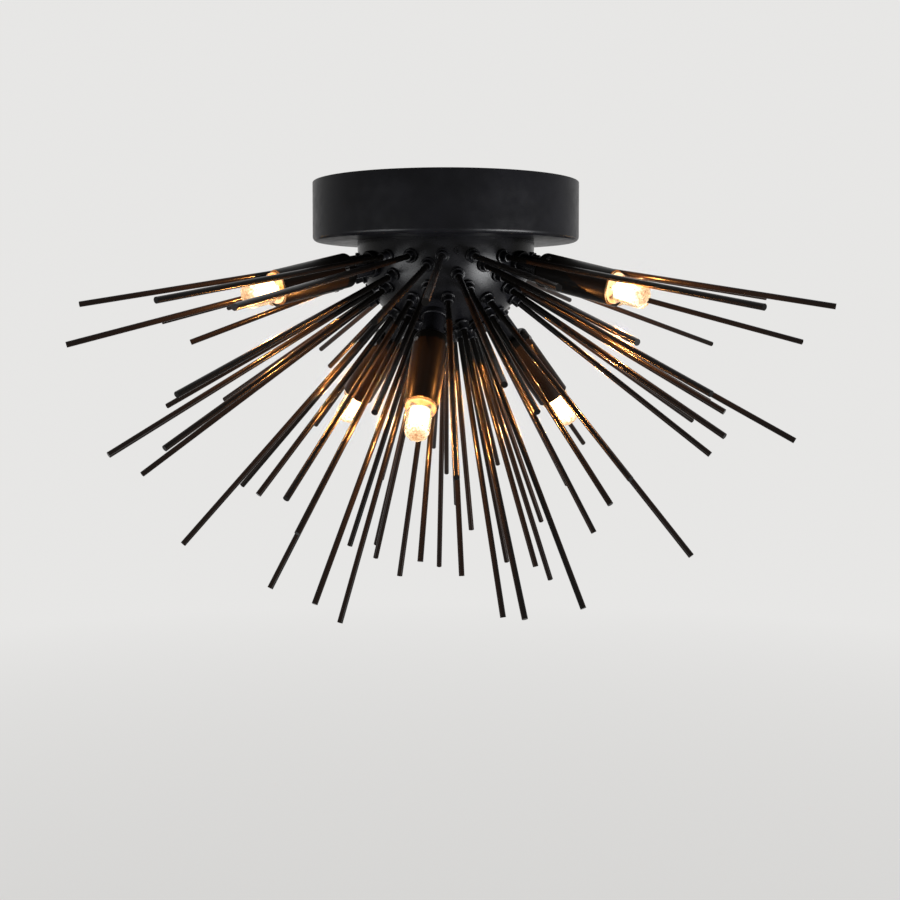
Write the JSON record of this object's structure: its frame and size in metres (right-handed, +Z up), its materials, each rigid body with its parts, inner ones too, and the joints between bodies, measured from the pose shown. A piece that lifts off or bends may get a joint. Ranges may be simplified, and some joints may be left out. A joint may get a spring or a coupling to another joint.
{
  "type": "flush mount ceiling light",
  "caption": "Flush mount ceiling light: a round canopy carries a half-ball hub from which straight black rods and tubular lamp holders with pull-out bulbs stand out",
  "frame": {"origin": "centre of the bracket's two slots in the ceiling plane, on the axis of the canopy and the hub", "axes": "+Z up towards the ceiling, +X to the right of the picture's camera, -Y towards that camera"},
  "size_m": [0.412, 0.4123, 0.2466],
  "materials": {
    "canopy_black": "satin",
    "hub_black": "satin",
    "rod_black": "satin",
    "cup_black": "matte",
    "zinc_steel": "satin",
    "screw_steel": "satin",
    "brass": "satin",
    "ground_green": "gloss",
    "block_white": "matte",
    "lead_insulation": "matte",
    "ceramic_white": "satin",
    "bulb_glass": "clear",
    "bulb_wire": "satin"
  },
  "bodies": {
    "root": {"canopy": "canopy_black", "ceiling_bracket": "zinc_steel", "ground_screw": "ground_green", "nipple": "brass", "bracket_nut": "brass", "hub_ring": "zinc_steel", "canopy_washer": "zinc_steel", "canopy_nut": "brass", "hub_shell": "hub_black", "hub_set_screws": "hub_black", "wiring_block": "block_white", "supply_leads": "lead_insulation", "lamp_collars": "hub_black", "lamp_stems": "hub_black", "lamp_nuts": "zinc_steel", "cup_screws": "screw_steel", "socket_contacts": "brass", "lamp_leads": "lead_insulation", "rods_1": "rod_black", "rods_2": "rod_black", "rods_3": "rod_black", "rods_4": "rod_black", "rods_5": "rod_black", "rods_6": "rod_black", "rods_7": "rod_black", "rods_8": "rod_black", "rod_collars_1": "hub_black", "rod_collars_2": "hub_black", "rod_collars_3": "hub_black", "cup_1": "cup_black", "cup_2": "cup_black", "cup_3": "cup_black", "cup_4": "cup_black", "cup_5": "cup_black", "cup_6": "cup_black", "cup_7": "cup_black", "socket_1": "ceramic_white", "socket_2": "ceramic_white", "socket_3": "ceramic_white", "socket_4": "ceramic_white", "socket_5": "ceramic_white", "socket_6": "ceramic_white", "socket_7": "ceramic_white"},
    "bulb_1": {"bulb_glass_1": "bulb_glass", "bulb_filament_1": "bulb_wire"},
    "bulb_2": {"bulb_glass_2": "bulb_glass", "bulb_filament_2": "bulb_wire"},
    "bulb_3": {"bulb_glass_3": "bulb_glass", "bulb_filament_3": "bulb_wire"},
    "bulb_4": {"bulb_glass_4": "bulb_glass", "bulb_filament_4": "bulb_wire"},
    "bulb_5": {"bulb_glass_5": "bulb_glass", "bulb_filament_5": "bulb_wire"},
    "bulb_6": {"bulb_glass_6": "bulb_glass", "bulb_filament_6": "bulb_wire"},
    "bulb_7": {"bulb_glass_7": "bulb_glass", "bulb_filament_7": "bulb_wire"}
  },
  "joints": [
    {"name": "bulb_1_pull", "type": "slide", "parent": "root", "child": "bulb_1", "axis": [-0.9347, 0.268, -0.2334], "range_m": [0, 0.014]},
    {"name": "bulb_2_pull", "type": "slide", "parent": "root", "child": "bulb_2", "axis": [-0.7965, -0.5577, -0.2334], "range_m": [0, 0.014]},
    {"name": "bulb_3_pull", "type": "slide", "parent": "root", "child": "bulb_3", "axis": [0.7965, -0.5577, -0.2334], "range_m": [0, 0.014]},
    {"name": "bulb_4_pull", "type": "slide", "parent": "root", "child": "bulb_4", "axis": [0.9347, 0.268, -0.2334], "range_m": [0, 0.014]},
    {"name": "bulb_5_pull", "type": "slide", "parent": "root", "child": "bulb_5", "axis": [-0.1162, -0.5976, -0.7934], "range_m": [0, 0.014]},
    {"name": "bulb_6_pull", "type": "slide", "parent": "root", "child": "bulb_6", "axis": [0.5756, 0.1982, -0.7934], "range_m": [0, 0.014]},
    {"name": "bulb_7_pull", "type": "slide", "parent": "root", "child": "bulb_7", "axis": [-0.4862, 0.3664, -0.7934], "range_m": [0, 0.014]}
  ]
}
